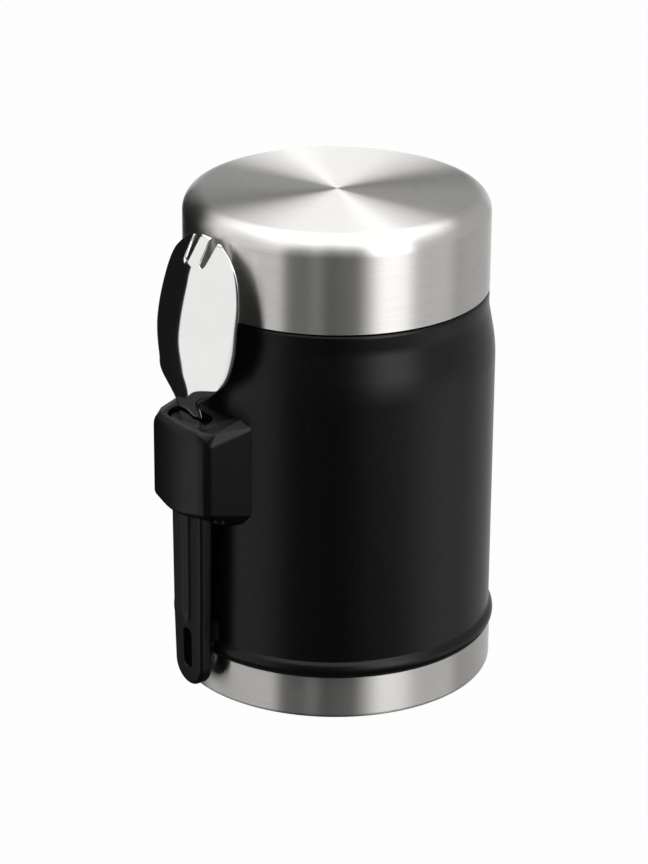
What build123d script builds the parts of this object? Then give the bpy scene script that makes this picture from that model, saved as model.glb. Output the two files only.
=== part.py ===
from build123d import *

import os
from math import sqrt

os.makedirs("parts", exist_ok=True)

# Insulated food jar: a double-walled steel jar, a screw lid with an insulated plug,
# and a steel spork that hangs by its handle in a moulded holder on the jar's side.
# Millimetres, +Z up. The origin is the middle of the face the jar stands on, on the
# jar's axis. The holder and the spork stand out towards -Y.

# ---- Driving sizes: outer shell -------------------------------------------------
body_radius = 46.0
shell_wall = 0.6
ledge_height = 116.2  # flat ledge round the neck, just under the lid's edge
shoulder_foot_drop = 16.95  # below the ledge: where the cone leaves the wall
shoulder_head_drop = 5.5  # below the ledge: where the cone meets the top cylinder
shoulder_foot_blend = 40.0
shoulder_head_blend = 12.0
ledge_edge_radius = 1.2
neck_foot_radius = 1.4
neck_height = 19.8  # from the ledge to the weld under the mouth's lip
bead_height = 8.0
bead_reach = 1.25

# ---- Driving sizes: base ---------------------------------------------------------
band_top = 12.0  # upper edge of the bare steel band
band_inset = 0.1
band_edge_radius = 1.8
foot_proud = 0.3  # the pad stands this far below the steel
foot_ring_width = 4.9
panel_rise = 2.0  # from the foot ring up to the recessed panel
panel_corner_radius = 0.8
dimple_radius = 5.0
dimple_depth = 1.3
evacuation_hole_radius = 1.0
pad_side_gap = 0.4
pad_chamfer = 0.6
glue_gap = 0.05

# ---- Driving sizes: inner vessel and vacuum space --------------------------------
vessel_wall = 0.5
vacuum_gap = 6.4  # between the two walls of the body
neck_vacuum_gap = 1.4  # between the two walls of the neck
floor_height = 13.4  # upper face of the food space's floor
floor_corner_radius = 6.0
floor_weld_rise = 6.6  # above the floor: weld between vessel and its bottom
vessel_neck_drop = 3.8  # below the ledge: where the vessel reaches its mouth size
vessel_neck_length = 9.0
vessel_neck_blend = 8.0
lip_corner_radius = 1.0
foil_thickness = 0.2
foil_gap = 0.1
foil_margin = 1.0
getter_inset = 19.0  # from the base panel's edge to the getter's middle
getter_radius = 6.1
getter_height = 2.5
clip_sheet = 0.4

# ---- Driving sizes: lid ----------------------------------------------------------
lid_step = 2.1  # the lid is this much narrower than the body, all round
lid_height = 27.8
lid_gap = 0.4  # between the ledge and the lid's lower edge
lid_wall = 0.5
lid_edge_radius = 5.8
lid_overhang = 0.05  # the lid is this much wider than the cylinder below it
liner_wall = 2.15
liner_recess = 0.5
liner_disc_thickness = 1.8
moulding_fit = 0.05
seal_thickness = 1.6
seal_gap = 0.05
seal_side_gap = 0.3
seal_rim_inset = 0.1  # the seal's edge lies this far inside the lip's edge
seal_rib_width = 0.8
seal_rib_height = 1.3
plug_clearance = 0.7
plug_depth = 10.0  # below the mouth's weld
plug_wall = 1.6
plug_corner_radius = 2.5

# ---- Driving sizes: thread, right-handed, three starts ---------------------------
thread_starts = 3
thread_lead = 12.0
thread_height = 1.3
thread_base = 1.8
thread_crest = 0.9
thread_clearance = 0.5  # between a crest and the root that it faces
thread_flank_gap = 0.3
thread_root_sink = 0.3
neck_thread_rise = 8.0
neck_thread_start = 4.8  # above the ledge
lid_thread_rise = 4.0
lid_thread_lag = 2.0  # the lid's ridges start this far up along the neck's

# ---- Driving sizes: holder, its bracket and screws -------------------------------
holder_top = 86.8
holder_height = 26.8
holder_width = 30.8
holder_depth = 14.0  # from the jar's wall to the outer face
holder_corner_radius = 3.5
holder_top_fillet = 1.3
holder_bottom_fillet = 3.0
weld_fit = 0.05
bracket_sheet = 0.8
bracket_width = 28.0
bracket_rise = 20.5
ear_rise = 1.5  # from the holder's underside to the ears' underside
ear_width = 5.7
ear_length = 8.0
ear_corner_radius = 1.5
bracket_slack = 0.1
screw_radius = 1.2
screw_length = 10.0
screw_head_radius = 2.0
screw_head_height = 1.3
screw_slot_width = 0.6
screw_slot_depth = 0.5
screw_fit = 0.05

# ---- Driving sizes: spork handle -------------------------------------------------
handle_width = 13.0
handle_thickness = 3.8
handle_foot = 4.5  # height of the handle's rounded end above the ground
handle_edge_radius = 1.2
handle_stand_off = 4.2  # from the jar's wall to the handle's back
shoulder_block_width = 14.9
shoulder_block_depth = 6.4
shoulder_block_height = 8.0
shoulder_block_radius = 1.5
shoulder_block_sink = 1.3  # its top lies this far inside the holder
slot_clearance = 0.3
seat_gap = 0.05
pocket_back_wall = 1.9
hang_slot_length = 13.0
hang_slot_width = 4.0
hang_slot_rise = 5.2  # from the handle's end to the slot
groove_width = 1.4
groove_depth = 0.5
groove_rise = 2.0  # from the slot to the groove

# ---- Driving sizes: spork head ---------------------------------------------------
head_length = 54.5  # above the handle
head_width = 36.0
head_sheet = 1.0
bowl_bulge = 5.2  # the bowl's keel stands this far out from the tang
tip_gap = 2.2  # between the tip's outer face and the lid's cylinder
# dish: how far the sheet's edges lie behind its middle, on the curve of a full-width section
bowl_dish = 7.1
tip_dish = 4.5
neck_dish = 13.0
flat_dish = 0.16
tang_width = 10.0
tang_length = 32.0
neck_width = 7.6
tang_fit = 0.05
cut_margin = 2.0
tine_slot_length = 8.2
tine_slot_foot_radius = 1.15
tine_slot_offset = 4.1  # of the slot's closed end from the middle
middle_tine_tip = 2.8
slot_mouth_width = 3.9
tip_width = 12.4

# ---- Heights and radii that follow ------------------------------------------------
lid_radius = body_radius - lid_step
shoulder_radius = lid_radius - lid_overhang
liner_radius = lid_radius - lid_wall - moulding_fit
liner_bore = liner_radius - liner_wall
neck_radius = liner_bore - thread_clearance - thread_height
weld_height = ledge_height + neck_height
rim_height = weld_height + vessel_wall

band_radius = body_radius - band_inset
panel_radius = band_radius - foot_ring_width
panel_height = foot_proud + panel_rise
panel_top = panel_height + shell_wall
getter_offset = panel_radius - getter_inset

vessel_radius = body_radius - shell_wall - vacuum_gap - vessel_wall
mouth_radius = neck_radius - shell_wall - neck_vacuum_gap - vessel_wall
floor_weld_height = floor_height + floor_weld_rise
vessel_neck_top = ledge_height - vessel_neck_drop
vessel_neck_foot = vessel_neck_top - vessel_neck_length

lid_low = ledge_height + lid_gap
lid_top = lid_low + lid_height
cavity_roof = lid_top - lid_wall
liner_low = lid_low + liner_recess
seal_low = rim_height + seal_gap
seal_top = seal_low + seal_thickness
disc_low = seal_top + seal_gap
disc_top = disc_low + liner_disc_thickness
plug_radius = mouth_radius - plug_clearance
plug_core_radius = plug_radius - plug_wall
plug_low = weld_height - plug_depth
seal_inner_radius = plug_radius + seal_side_gap
seal_outer_radius = neck_radius - seal_rim_inset

holder_low = holder_top - holder_height
holder_radius = body_radius + holder_depth
wall_seat_radius = body_radius + weld_fit
bracket_radius = wall_seat_radius + bracket_sheet
ear_low = holder_low + ear_rise
ear_top = ear_low + bracket_sheet
ear_middle = bracket_width / 2 - ear_width / 2
screw_reach = body_radius + ear_length / 2

pocket_width = shoulder_block_width + 2 * slot_clearance
pocket_depth = shoulder_block_depth + 2 * slot_clearance
pocket_middle = body_radius + pocket_back_wall + pocket_depth / 2
pocket_floor = holder_top - shoulder_block_sink - shoulder_block_height - seat_gap
block_low = pocket_floor + seat_gap
block_top = block_low + shoulder_block_height
handle_back = body_radius + handle_stand_off
handle_middle = handle_back + handle_thickness / 2
handle_face = handle_back + handle_thickness

tang_face = handle_middle + head_sheet / 2
bowl_reach = tang_face + bowl_bulge
tip_reach = lid_radius + tip_gap
head_tip = block_top + head_length
tang_low = block_top - tang_length

MIN, MAX, CENTER = Align.MIN, Align.MAX, Align.CENTER


def keep(piece, name):
    """Label a finished piece and write it to its own file."""
    piece.part.label = name
    export_step(piece.part, f"parts/{name}.step")


def ring(inner_radius, outer_radius, low, high, mode=Mode.ADD):
    """Add a rectangle to a half-section, from one radius and height to another."""
    with Locations((inner_radius, low)):
        Rectangle(outer_radius - inner_radius, high - low, align=(MIN, MIN), mode=mode)


# ---- Threads ----------------------------------------------------------------------
def thread_ridge(root_radius, direction, rise, start_height):
    """One helical ridge. direction is 1 for a ridge that points away from the axis."""
    sink = -direction * thread_root_sink
    crest = direction * thread_height
    with BuildLine(mode=Mode.PRIVATE) as route:
        Helix(pitch=thread_lead, height=rise, radius=root_radius, center=(0, 0, start_height))
    start = Plane(origin=route.line @ 0, x_dir=(1, 0, 0), z_dir=route.line % 0)
    with BuildPart() as ridge:
        with BuildSketch(start):
            with BuildLine():
                Polyline(
                    (sink, -thread_base / 2),
                    (0, -thread_base / 2),
                    (crest, -thread_crest / 2),
                    (crest, thread_crest / 2),
                    (0, thread_base / 2),
                    (sink, thread_base / 2),
                    close=True,
                )
            make_face()
        sweep(path=route.line, is_frenet=True)
    return ridge.part


neck_thread_low = ledge_height + neck_thread_start
neck_ridge = thread_ridge(neck_radius, 1, neck_thread_rise, neck_thread_low)

# The lid's ridges pull up against the neck's ridges from below. Where the two
# overlap across the clearance, one is at its crest and the other part way down.
mesh_share = (thread_height - thread_clearance) / thread_height
mesh_width = thread_crest + (thread_base - thread_crest) * mesh_share
flank_offset = (thread_crest + mesh_width) / 2 + thread_flank_gap
lid_ridge = thread_ridge(liner_bore, -1, lid_thread_rise, neck_thread_low - flank_offset)
lid_ridge_turn = 360 * lid_thread_lag / thread_lead

# ---- Outer shell --------------------------------------------------------------------
with BuildPart() as outer_shell:
    with BuildSketch(Plane.XZ):
        with BuildLine():
            ThreePointArc(
                (body_radius, band_top),
                (body_radius + bead_reach, band_top + bead_height / 2),
                (body_radius, band_top + bead_height),
            )
            FilletPolyline(
                (body_radius, band_top + bead_height),
                (body_radius, ledge_height - shoulder_foot_drop),
                (shoulder_radius, ledge_height - shoulder_head_drop),
                (shoulder_radius, ledge_height),
                (neck_radius, ledge_height),
                (neck_radius, weld_height),
                radius=[
                    shoulder_foot_blend,
                    shoulder_head_blend,
                    ledge_edge_radius,
                    neck_foot_radius,
                ],
            )
            offset(amount=shell_wall, side=Side.LEFT)
        make_face()
    revolve(axis=Axis.Z)
    with PolarLocations(0, thread_starts):
        add(neck_ridge)
keep(outer_shell, "outer_shell")

# ---- Base cup: steel band, foot ring and recessed panel ------------------------------
with BuildPart() as base_cup:
    with BuildSketch(Plane.XZ):
        with BuildLine():
            FilletPolyline(
                (band_radius, band_top),
                (band_radius, foot_proud),
                (panel_radius, foot_proud),
                (panel_radius, panel_height),
                (dimple_radius, panel_height),
                (dimple_radius, panel_height + dimple_depth),
                (evacuation_hole_radius, panel_height + dimple_depth),
                radius=[band_edge_radius, panel_corner_radius, panel_corner_radius, 0, 0],
            )
            offset(amount=shell_wall, side=Side.RIGHT)
        make_face()
    revolve(axis=Axis.Z)
keep(base_cup, "base_cup")

with BuildPart() as evacuation_seal:
    with BuildSketch(Plane.XZ):
        ring(0, dimple_radius - moulding_fit, panel_height, panel_height + dimple_depth)
    revolve(axis=Axis.Z)
keep(evacuation_seal, "evacuation_seal")

with BuildPart() as base_pad:
    with BuildSketch(Plane.XZ):
        ring(0, panel_radius - pad_side_gap, 0, panel_height - glue_gap)
    revolve(axis=Axis.Z)
    level_faces = base_pad.faces().filter_by(Axis.Z)
    chamfer(level_faces.edges(), length=pad_chamfer)
keep(base_pad, "base_pad")

# ---- Getter in its clip, on the panel inside the vacuum space ------------------------
clip_radius = getter_radius + moulding_fit + clip_sheet
getter_low = panel_top + clip_sheet
with BuildPart() as getter_clip:
    with Locations((getter_offset, 0, panel_top)):
        Cylinder(clip_radius, clip_sheet + getter_height, align=(CENTER, CENTER, MIN))
    with Locations((getter_offset, 0, getter_low)):
        Cylinder(
            getter_radius + moulding_fit,
            getter_height,
            align=(CENTER, CENTER, MIN),
            mode=Mode.SUBTRACT,
        )
keep(getter_clip, "getter_clip")

with BuildPart() as getter:
    with Locations((getter_offset, 0, getter_low)):
        Cylinder(getter_radius, getter_height, align=(CENTER, CENTER, MIN))
keep(getter, "getter")

# ---- Inner vessel: wall, mouth and lip; its bottom is a separate pressing ------------
with BuildPart() as inner_vessel:
    with BuildSketch(Plane.XZ):
        with BuildLine():
            FilletPolyline(
                (vessel_radius, floor_weld_height),
                (vessel_radius, vessel_neck_foot),
                (mouth_radius, vessel_neck_top),
                (mouth_radius, rim_height),
                (neck_radius, rim_height),
                radius=[vessel_neck_blend, vessel_neck_blend, lip_corner_radius],
            )
            offset(amount=vessel_wall, side=Side.RIGHT)
        make_face()
    revolve(axis=Axis.Z)
keep(inner_vessel, "inner_vessel")

with BuildPart() as inner_bottom:
    with BuildSketch(Plane.XZ):
        with BuildLine():
            FilletPolyline(
                (vessel_radius, floor_weld_height),
                (vessel_radius, floor_height),
                (0, floor_height),
                radius=[floor_corner_radius],
            )
            offset(amount=vessel_wall, side=Side.LEFT)
        make_face()
    revolve(axis=Axis.Z)
keep(inner_bottom, "inner_bottom")

foil_radius = vessel_radius + vessel_wall + foil_gap
with BuildPart() as radiation_foil:
    with BuildSketch(Plane.XZ):
        ring(
            foil_radius,
            foil_radius + foil_thickness,
            floor_weld_height + foil_margin,
            vessel_neck_foot - foil_margin,
        )
    revolve(axis=Axis.Z)
keep(radiation_foil, "radiation_foil")

# ---- Lid: steel cap, threaded liner, plug, foam and seal -----------------------------
with BuildPart() as lid_shell:
    with BuildSketch(Plane.XZ):
        with BuildLine():
            FilletPolyline(
                (lid_radius, lid_low),
                (lid_radius, lid_top),
                (0, lid_top),
                radius=[lid_edge_radius],
            )
            offset(amount=lid_wall, side=Side.LEFT)
        make_face()
    revolve(axis=Axis.Z)
keep(lid_shell, "lid_shell")


def cap_cavity(low):
    """Half-section of the steel cap's inside, with a fit all round, down to low."""
    with BuildSketch() as section:
        with BuildLine():
            FilletPolyline(
                (0, low),
                (liner_radius, low),
                (liner_radius, cavity_roof - moulding_fit),
                (0, cavity_roof - moulding_fit),
                radius=[0, lid_edge_radius - lid_wall - moulding_fit],
            )
            Line((0, cavity_roof - moulding_fit), (0, low))
        make_face()
    return section.sketch


with BuildPart() as lid_liner:
    with BuildSketch(Plane.XZ):
        add(cap_cavity(liner_low))
        ring(0, liner_bore, liner_low, disc_low, mode=Mode.SUBTRACT)
        ring(0, plug_core_radius, disc_low, cavity_roof, mode=Mode.SUBTRACT)
        ring(plug_core_radius, liner_radius, disc_top, cavity_roof, mode=Mode.SUBTRACT)
        ring(
            seal_outer_radius + seal_side_gap,
            seal_outer_radius + seal_side_gap + seal_rib_width,
            disc_low - seal_rib_height,
            disc_low,
        )
    revolve(axis=Axis.Z)
    with PolarLocations(0, thread_starts, start_angle=lid_ridge_turn):
        with Locations((0, 0, lid_thread_lag)):
            add(lid_ridge)
keep(lid_liner, "lid_liner")

with BuildPart() as lid_plug:
    with BuildSketch(Plane.XZ):
        with BuildLine():
            FilletPolyline(
                (0, plug_low),
                (plug_radius, plug_low),
                (plug_radius, disc_low),
                radius=[plug_corner_radius],
            )
            offset(amount=plug_wall, side=Side.LEFT)
        make_face()
    revolve(axis=Axis.Z)
keep(lid_plug, "lid_plug")

with BuildPart() as lid_foam:
    with BuildSketch(Plane.XZ):
        add(cap_cavity(plug_low + plug_wall + moulding_fit))
        ring(
            plug_core_radius - moulding_fit,
            liner_radius,
            plug_low,
            disc_top + moulding_fit,
            mode=Mode.SUBTRACT,
        )
    revolve(axis=Axis.Z)
    fillet(
        lid_foam.faces().sort_by(Axis.Z)[0].edges(),
        radius=max(plug_corner_radius - plug_wall, moulding_fit),
    )
keep(lid_foam, "lid_foam")

with BuildPart() as lid_seal:
    with BuildSketch(Plane.XZ):
        ring(seal_inner_radius, seal_outer_radius, seal_low, seal_top)
    revolve(axis=Axis.Z)
keep(lid_seal, "lid_seal")

# ---- Holder bracket: sheet steel welded to the wall, with two ears for the screws ----
ear_places = [(-ear_middle, -screw_reach), (ear_middle, -screw_reach)]
with BuildPart() as holder_bracket:
    with BuildSketch(Plane.XY.offset(ear_low)):
        with Locations((0, -body_radius)):
            Rectangle(bracket_width, holder_depth, align=(CENTER, CENTER))
        Circle(bracket_radius, mode=Mode.INTERSECT)
        Circle(wall_seat_radius, mode=Mode.SUBTRACT)
    extrude(amount=bracket_rise)
    with BuildSketch(Plane.XY.offset(ear_low)):
        with Locations(*ear_places):
            RectangleRounded(ear_width, ear_length, ear_corner_radius)
            Rectangle(ear_width, ear_length / 2, align=(CENTER, MIN))
        Circle(wall_seat_radius, mode=Mode.SUBTRACT)
    extrude(amount=bracket_sheet)
    with Locations(*[(x, y, ear_top) for x, y in ear_places]):
        Hole(radius=screw_radius + screw_fit, depth=bracket_sheet)
keep(holder_bracket, "holder_bracket")

with BuildPart() as holder_screws:
    with Locations(*[(x, y, ear_low) for x, y in ear_places]):
        Cylinder(screw_head_radius, screw_head_height, align=(CENTER, CENTER, MAX))
        Cylinder(screw_radius, screw_length, align=(CENTER, CENTER, MIN))
    with Locations(*[(x, y, ear_low - screw_head_height) for x, y in ear_places]):
        Box(
            2 * screw_head_radius,
            screw_slot_width,
            screw_slot_depth,
            align=(CENTER, CENTER, MIN),
            mode=Mode.SUBTRACT,
        )
keep(holder_screws, "holder_screws")

# ---- Spork holder ---------------------------------------------------------------------
with BuildPart() as spork_holder:
    with BuildSketch(Plane.XY.offset(holder_low)):
        with Locations((0, -body_radius)):
            Rectangle(holder_width, 2 * holder_depth)
        Circle(holder_radius, mode=Mode.INTERSECT)
    extrude(amount=holder_height)
    outer_corners = spork_holder.edges().filter_by(Axis.Z).group_by(Axis.Y)[0]
    fillet(outer_corners, radius=holder_corner_radius)
    top_rim = spork_holder.faces().sort_by(Axis.Z)[-1].edges()
    fillet(top_rim.sort_by(Axis.Y)[:-1], radius=holder_top_fillet)
    bottom_rim = spork_holder.faces().sort_by(Axis.Z)[0].edges()
    fillet(bottom_rim.sort_by(Axis.Y)[:-1], radius=holder_bottom_fillet)
    # the back is hollowed to the jar's wall
    with Locations((0, 0, holder_low)):
        Cylinder(wall_seat_radius, holder_height, align=(CENTER, CENTER, MIN), mode=Mode.SUBTRACT)
    # room for the bracket's plate and its ears, open at the bottom
    with BuildSketch(Plane.XY.offset(holder_low)):
        with Locations((0, -body_radius)):
            Rectangle(bracket_width + 2 * bracket_slack, holder_depth)
        Circle(bracket_radius + bracket_slack, mode=Mode.INTERSECT)
    extrude(amount=ear_rise + bracket_rise + bracket_slack, mode=Mode.SUBTRACT)
    with BuildSketch(Plane.XY.offset(holder_low)):
        with Locations(*ear_places):
            Rectangle(ear_width + 2 * bracket_slack, ear_length + 2 * bracket_slack)
    extrude(amount=ear_rise + bracket_sheet + bracket_slack, mode=Mode.SUBTRACT)
    with Locations(*[(x, y, ear_low) for x, y in ear_places]):
        Cylinder(
            screw_radius + screw_fit,
            screw_length + screw_fit,
            align=(CENTER, CENTER, MIN),
            mode=Mode.SUBTRACT,
        )
    # pocket for the handle's shoulder block, and the way through for the handle
    with BuildSketch(Plane.XY.offset(pocket_floor)):
        with Locations((0, -pocket_middle)):
            RectangleRounded(pocket_width, pocket_depth, shoulder_block_radius + slot_clearance)
    extrude(amount=holder_top - pocket_floor, mode=Mode.SUBTRACT)
    with BuildSketch(Plane.XY.offset(holder_low)):
        with Locations((0, -handle_middle)):
            RectangleRounded(
                handle_width + 2 * slot_clearance,
                handle_thickness + 2 * slot_clearance,
                handle_edge_radius,
            )
    extrude(amount=pocket_floor - holder_low, mode=Mode.SUBTRACT)
keep(spork_holder, "spork_holder")

# ---- Spork head -------------------------------------------------------------------------
# The sheet is lofted through level sections. Each has its outer face at a reach from the
# jar's axis, a parabola across and a half-width a little wider than the outline there.
# The first list climbs from the tang to the bowl's furthest point, the second goes on
# from there to the tip: height as a share of the head, share of the way, half-width as a
# share of the head's width, and dish.
climb = [
    (0.0, 0.0, 0.19, flat_dish),
    (0.138, 0.53, 0.22, neck_dish),
    (0.211, 0.70, 0.42, bowl_dish),
    (0.303, 0.93, 0.51, bowl_dish),
    (0.404, 1.0, 0.55, bowl_dish),
]
fall = [
    (0.578, 0.06, 0.55, bowl_dish),
    (0.725, 0.27, 0.53, bowl_dish),
    (0.853, 0.53, 0.47, bowl_dish),
    (0.945, 0.81, 0.39, (bowl_dish + tip_dish) / 2),
    (1.03, 1.09, 0.28, tip_dish),
]


def section(begin, end, height_share, way, span_share, dish):
    """Height, reach, half-width and depth of the curve across one section of the sheet."""
    height = block_top + height_share * head_length
    depth = dish * (2 * span_share) ** 2
    return height, begin + way * (end - begin), span_share * head_width, depth


sections = [section(tang_face, bowl_reach, *station) for station in climb]
sections += [section(bowl_reach, tip_reach, *station) for station in fall]
outline = [
    (tang_width / 2, 0.0),
    (neck_width / 2, 0.11),
    (0.30 * head_width, 0.211),
    (0.44 * head_width, 0.303),
    (head_width / 2, 0.44),
    (0.47 * head_width, 0.71),
    (0.417 * head_width, 0.853),
    (0.30 * head_width, 0.945),
    (tip_width / 2, 1.0),
]


def level_thickness(index):
    """The sheet's thickness measured level, which is more where the sheet leans."""
    if index == 0:
        return head_sheet
    below, above = sections[index - 1], sections[min(index + 1, len(sections) - 1)]
    lean = (above[1] - below[1]) / (above[0] - below[0])
    return head_sheet * sqrt(1 + lean * lean)


def parabola(reach, half_width, depth):
    """A parabola across the sheet, drawn exactly by a quadratic curve."""
    return Bezier(
        (-half_width, depth - reach),
        (0, -depth - reach),
        (half_width, depth - reach),
    )


slot_foot = head_tip - tine_slot_length
slot_inner = middle_tine_tip / 2
slot_outer = slot_inner + slot_mouth_width
with BuildPart() as spork_head:
    for index, (height, reach, half_width, depth) in enumerate(sections):
        with BuildSketch(Plane.XY.offset(height)):
            with BuildLine():
                outer = parabola(reach, half_width, depth)
                inner = parabola(reach - level_thickness(index), half_width, depth)
                Line(outer @ 0, inner @ 0)
                Line(outer @ 1, inner @ 1)
            make_face()
    loft()
    # the flat tang that the handle is moulded round
    with BuildSketch(Plane.XZ.offset(tang_face - head_sheet)):
        with Locations((0, tang_low)):
            Rectangle(tang_width, block_top - tang_low, align=(CENTER, MIN))
    extrude(amount=head_sheet)
    # outline of the whole head, seen from the front, with the two tine slots
    with BuildSketch(Plane.XZ):
        with BuildLine():
            left, right = [
                Spline(*[(side * half, block_top + share * head_length) for half, share in outline])
                for side in (-1, 1)
            ]
            Line(left @ 1, right @ 1)
            Polyline(
                left @ 0,
                (-tang_width / 2, tang_low),
                (tang_width / 2, tang_low),
                right @ 0,
            )
        make_face()
        for side in (-1, 1):
            with Locations((side * tine_slot_offset, slot_foot)):
                Circle(tine_slot_foot_radius, mode=Mode.SUBTRACT)
            with BuildLine():
                Polyline(
                    (side * (tine_slot_offset - tine_slot_foot_radius), slot_foot),
                    (side * slot_inner, head_tip),
                    (side * slot_inner, head_tip + cut_margin),
                    (side * slot_outer, head_tip + cut_margin),
                    (side * slot_outer, head_tip),
                    (side * (tine_slot_offset + tine_slot_foot_radius), slot_foot),
                    close=True,
                )
            make_face(mode=Mode.SUBTRACT)
    extrude(amount=bowl_reach + holder_depth, mode=Mode.INTERSECT)
keep(spork_head, "spork_head")

# ---- Spork handle, moulded round the tang -------------------------------------------------
with BuildPart() as spork_handle:
    with BuildSketch(Plane.XZ.offset(handle_back)):
        with Locations((0, handle_foot + handle_width / 2)):
            Circle(handle_width / 2)
            Rectangle(
                handle_width,
                block_low + handle_edge_radius - handle_foot - handle_width / 2,
                align=(CENTER, MIN),
            )
    extrude(amount=handle_thickness)
    long_faces = spork_handle.faces().filter_by(Axis.Y).sort_by(Axis.Y)
    fillet(long_faces[0].edges() + long_faces[-1].edges(), radius=handle_edge_radius)
    with BuildSketch(Plane.XY.offset(block_low)):
        with Locations((0, -pocket_middle)):
            RectangleRounded(shoulder_block_width, shoulder_block_depth, shoulder_block_radius)
    extrude(amount=shoulder_block_height)
    # hang slot, right through, and the groove that runs up from it
    hang_slot_middle = handle_foot + hang_slot_rise + hang_slot_length / 2
    with BuildSketch(Plane.XZ.offset(handle_back)):
        with Locations((0, hang_slot_middle)):
            SlotOverall(hang_slot_length, hang_slot_width, rotation=90)
    extrude(amount=handle_thickness, mode=Mode.SUBTRACT)
    groove_low = handle_foot + hang_slot_rise + hang_slot_length + groove_rise
    with BuildSketch(Plane.XZ.offset(handle_face - groove_depth)):
        with Locations((0, groove_low)):
            Rectangle(groove_width, block_low - groove_low, align=(CENTER, MIN))
    extrude(amount=groove_depth, mode=Mode.SUBTRACT)
    # the space that the tang fills
    with BuildSketch(Plane.XZ.offset(tang_face - head_sheet - tang_fit)):
        with Locations((0, tang_low - tang_fit)):
            Rectangle(
                tang_width + 2 * tang_fit,
                block_top - tang_low + tang_fit,
                align=(CENTER, MIN),
            )
    extrude(amount=head_sheet + 2 * tang_fit, mode=Mode.SUBTRACT)
keep(spork_handle, "spork_handle")
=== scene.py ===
from math import asin, cos, hypot, pi, radians, sin, tan

import bmesh
import bpy
from mathutils import Matrix, Vector


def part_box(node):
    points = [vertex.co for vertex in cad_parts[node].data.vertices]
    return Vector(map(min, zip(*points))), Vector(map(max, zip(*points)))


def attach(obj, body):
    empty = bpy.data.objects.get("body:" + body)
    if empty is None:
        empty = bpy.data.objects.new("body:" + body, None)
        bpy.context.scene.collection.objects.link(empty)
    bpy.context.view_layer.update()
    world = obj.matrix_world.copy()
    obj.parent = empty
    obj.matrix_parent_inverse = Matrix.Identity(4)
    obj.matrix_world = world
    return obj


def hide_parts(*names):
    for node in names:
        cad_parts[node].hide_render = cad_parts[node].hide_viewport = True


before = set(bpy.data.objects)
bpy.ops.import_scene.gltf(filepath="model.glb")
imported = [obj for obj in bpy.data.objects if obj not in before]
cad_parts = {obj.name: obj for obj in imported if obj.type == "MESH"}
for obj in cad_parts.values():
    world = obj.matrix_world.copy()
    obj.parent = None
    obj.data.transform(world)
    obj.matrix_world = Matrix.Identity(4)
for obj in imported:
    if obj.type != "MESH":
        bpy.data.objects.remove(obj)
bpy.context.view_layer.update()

# Insulated food jar with a spork in a holder on its side. Lengths are in millimetres and
# angles in degrees, unless a comment says otherwise. A profile is a list of corners, each a
# radius, a height and the radius of its rounding. Every piece is made in place, round the
# jar's axis, Z, and the spork hangs on the -Y side.
MM = 0.001
FULL_TURN = 2 * pi
WELD = 1e-6  # metres: points nearer than this are one point
WHITE = 1, 1, 1, 1


def extent(node):
    """Lowest height, highest height and largest radius of a round CAD node, in mm."""
    low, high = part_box(node)
    return low.z / MM, high.z / MM, max(high.x, -low.x, high.y) / MM


foot_low, _, band_radius = extent("base_cup")
_, weld_height, _ = extent("outer_shell")
_, rim_height, neck_radius = extent("inner_vessel")
lid_low, lid_top, lid_radius = extent("lid_shell")

LID_GAP = 0.4  # between the ledge and the lid
COAT_THICKNESS = 0.1
SHOULDER_INSET = 0.05  # the shoulder's upper end lies just inside the lid
COAT_RISE = 2  # how far the coat climbs the neck above the ledge
body_radius = band_radius + COAT_THICKNESS
shoulder_radius = lid_radius - SHOULDER_INSET
ledge_height = lid_low - LID_GAP
coat_end = ledge_height + COAT_RISE

# ---- Camera ------------------------------------------------------------------------
CAMERA_AZIMUTH = 51.4985  # degrees from -Y towards +X
CAMERA_PITCH = 22.373
CAMERA_ROLL = 0.4916
CAMERA_PLACE = (0.71030, -0.56906, 0.44452)
CAMERA_LENS = 140.9  # mm, on a frame 36 mm high


def place_camera():
    lens = bpy.data.cameras.new("camera")
    lens.lens = CAMERA_LENS
    lens.clip_end = 20
    camera = bpy.data.objects.new("camera", lens)
    camera.matrix_world = (
        Matrix.Translation(CAMERA_PLACE)
        @ Matrix.Rotation(radians(CAMERA_AZIMUTH), 4, "Z")
        @ Matrix.Rotation(radians(90 - CAMERA_PITCH), 4, "X")
        @ Matrix.Rotation(radians(CAMERA_ROLL), 4, "Z")
    )
    bpy.context.scene.collection.objects.link(camera)
    bpy.context.scene.camera = camera


# ---- Shader nodes ------------------------------------------------------------------
def add_node(tree, kind, inputs=None, **settings):
    """Adds a shader node. inputs gives a socket's name or number its value, or the output
    that feeds it."""
    made = tree.nodes.new(kind)
    for name, value in settings.items():
        setattr(made, name, value)
    for name, value in (inputs or {}).items():
        if isinstance(value, bpy.types.NodeSocket):
            tree.links.new(value, made.inputs[name])
        else:
            made.inputs[name].default_value = value
    return made


def new_material(name, **sockets):
    """A material with a Principled shader, its node tree, and that shader."""
    material = bpy.data.materials.new(name)
    material.use_nodes = True
    shader = material.node_tree.nodes["Principled BSDF"]
    for socket, value in sockets.items():
        shader.inputs[socket.replace("_", " ")].default_value = value
    return material, material.node_tree, shader


def feed(tree, shader, **outputs):
    for socket, output in outputs.items():
        tree.links.new(output, shader.inputs[socket.replace("_", " ")])


def math_node(tree, operation, *values):
    return add_node(
        tree, "ShaderNodeMath", dict(enumerate(values)), operation=operation
    ).outputs[0]


def object_place(tree):
    return add_node(tree, "ShaderNodeTexCoord").outputs["Object"]


def noise(tree, place, per_mm, detail=2.0, roughness=0.5):
    """Smooth noise with a scale in waves per millimetre."""
    return add_node(
        tree,
        "ShaderNodeTexNoise",
        {"Vector": place, "Scale": per_mm / MM, "Detail": detail, "Roughness": roughness},
    ).outputs["Fac"]


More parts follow.
